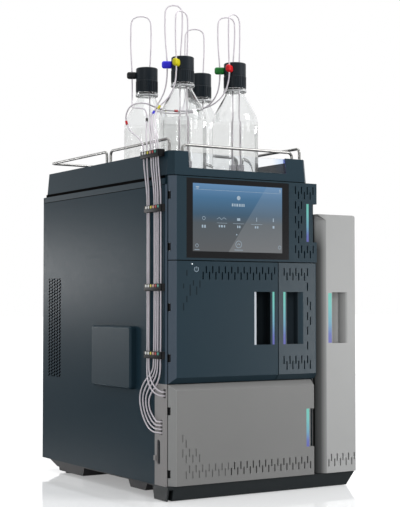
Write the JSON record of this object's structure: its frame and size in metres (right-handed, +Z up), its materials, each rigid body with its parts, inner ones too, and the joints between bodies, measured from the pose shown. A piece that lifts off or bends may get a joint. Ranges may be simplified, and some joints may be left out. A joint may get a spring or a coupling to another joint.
{
  "type": "liquid chromatography system",
  "caption": "Bench-top liquid chromatograph: stacked instrument bays behind hinged doors, a column compartment, and a bottle tray with looped solvent lines.",
  "frame": {"origin": "middle of the footprint, on the bench surface", "axes": "+Z up, doors face -Y, +X to the right of someone facing the doors"},
  "size_m": [0.498, 0.604, 1.0496],
  "materials": {
    "body_paint": "satin",
    "body_plastic": "satin",
    "grey_plastic": "satin",
    "grey_paint": "satin",
    "module_paint": "satin",
    "module_plastic": "satin",
    "plinth": "satin",
    "under_pan": "satin",
    "foot_rubber": "matte",
    "bay_plastic": "matte",
    "hinge_steel": "satin",
    "display_glass": "gloss",
    "light_bar": "satin",
    "button_plastic": "satin",
    "tray_window": "gloss",
    "rail_steel": "polished",
    "clip_plastic": "satin",
    "bottle_glass": "gloss",
    "cap_plastic": "satin",
    "tab_plastic": "satin",
    "solvent": "gloss",
    "line_tube": "satin",
    "machined_steel": "satin",
    "machined_aluminium": "satin",
    "plate_plastic": "satin",
    "vial_glass": "gloss",
    "carriage_plastic": "satin"
  },
  "bodies": {
    "chassis": {"base_pan": "under_pan", "base_plinth": "plinth", "feet": "foot_rubber", "left_side_panel": "body_paint", "lower_side_panel": "grey_paint", "side_cover": "body_paint", "right_side_panel": "body_paint", "rear_panel": "body_paint", "top_cover": "body_paint", "pump_bay": "bay_plastic", "sample_bay": "bay_plastic", "valve_bay": "bay_plastic", "detector_bay": "bay_plastic", "column_housing": "module_paint", "hinge_brackets": "hinge_steel", "hinge_pins": "hinge_steel", "bottle_tray": "body_plastic", "tray_window": "tray_window", "bottle_rails": "rail_steel", "line_clips": "clip_plastic", "bottles": "bottle_glass", "cap_inserts": "cap_plastic", "line_tabs": "tab_plastic", "solvents": "solvent", "dip_tubes": "line_tube", "pump_heads": "machined_steel", "pump_mixer": "machined_steel", "sample_plates": "plate_plastic", "sample_vials": "vial_glass", "needle_rails": "machined_steel", "injection_valve": "machined_steel", "flow_cell": "machined_aluminium", "column_clamps": "clip_plastic", "column_tube": "machined_steel", "fan_frame": "clip_plastic", "power_inlet": "clip_plastic", "solvent_line_black": "line_tube", "solvent_line_blue": "line_tube", "solvent_line_yellow": "line_tube", "solvent_line_dark_red": "line_tube", "solvent_line_green": "line_tube", "solvent_line_red": "line_tube"},
    "screen_door": {"screen_door": "body_plastic", "display_glass": "display_glass", "screen_light_bar": "light_bar"},
    "main_door": {"main_door": "body_plastic", "main_light_bar": "light_bar"},
    "side_door": {"side_door": "body_plastic", "side_light_bar": "light_bar"},
    "pump_door": {"pump_door": "grey_plastic", "pump_light_bar": "light_bar"},
    "column_door": {"column_door": "module_plastic", "column_light_bar": "light_bar"},
    "power_button": {"power_button": "button_plastic"},
    "needle_carriage": {"needle_carriage": "carriage_plastic"},
    "fan_rotor": {"fan_rotor": "clip_plastic"},
    "cap_ring_1": {"cap_ring_1": "cap_plastic"},
    "cap_ring_2": {"cap_ring_2": "cap_plastic"},
    "cap_ring_3": {"cap_ring_3": "cap_plastic"},
    "cap_ring_4": {"cap_ring_4": "cap_plastic"}
  },
  "joints": [
    {"name": "screen_door_hinge", "type": "hinge", "parent": "chassis", "child": "screen_door", "pos_m": [-0.2265, -0.2895, 0.577], "axis": [0, 0, -1], "range_deg": [0, 100]},
    {"name": "main_door_hinge", "type": "hinge", "parent": "chassis", "child": "main_door", "pos_m": [-0.2265, -0.2895, 0.363], "axis": [0, 0, -1], "range_deg": [0, 100]},
    {"name": "pump_door_hinge", "type": "hinge", "parent": "chassis", "child": "pump_door", "pos_m": [-0.2265, -0.2895, 0.133], "axis": [0, 0, -1], "range_deg": [0, 100]},
    {"name": "side_door_hinge", "type": "hinge", "parent": "chassis", "child": "side_door", "pos_m": [0.1345, -0.2965, 0.363], "axis": [0, 0, 1], "range_deg": [0, 95]},
    {"name": "column_door_hinge", "type": "hinge", "parent": "chassis", "child": "column_door", "pos_m": [0.2435, -0.2965, 0.314], "axis": [0, 0, 1], "range_deg": [0, 95]},
    {"name": "power_button_travel", "type": "slide", "parent": "main_door", "child": "power_button", "axis": [0, 1, 0], "range_m": [0, 0.001], "stiffness_N_per_m": 400},
    {"name": "needle_carriage_slide", "type": "slide", "parent": "chassis", "child": "needle_carriage", "axis": [1, 0, 0], "range_m": [-0.08, 0.08]},
    {"name": "fan_rotor_spin", "type": "hinge", "parent": "chassis", "child": "fan_rotor", "pos_m": [-0.115, 0.285, 0.52], "axis": [0, 1, 0], "continuous": true},
    {"name": "cap_ring_1_turn", "type": "hinge", "parent": "chassis", "child": "cap_ring_1", "pos_m": [-0.143, -0.047, 0.888], "axis": [0, 0, 1], "continuous": true},
    {"name": "cap_ring_2_turn", "type": "hinge", "parent": "chassis", "child": "cap_ring_2", "pos_m": [-0.141, -0.199, 0.888], "axis": [0, 0, 1], "continuous": true},
    {"name": "cap_ring_3_turn", "type": "hinge", "parent": "chassis", "child": "cap_ring_3", "pos_m": [-0.002, -0.05, 0.888], "axis": [0, 0, 1], "continuous": true},
    {"name": "cap_ring_4_turn", "type": "hinge", "parent": "chassis", "child": "cap_ring_4", "pos_m": [-0.006, -0.199, 0.888], "axis": [0, 0, 1], "continuous": true}
  ]
}
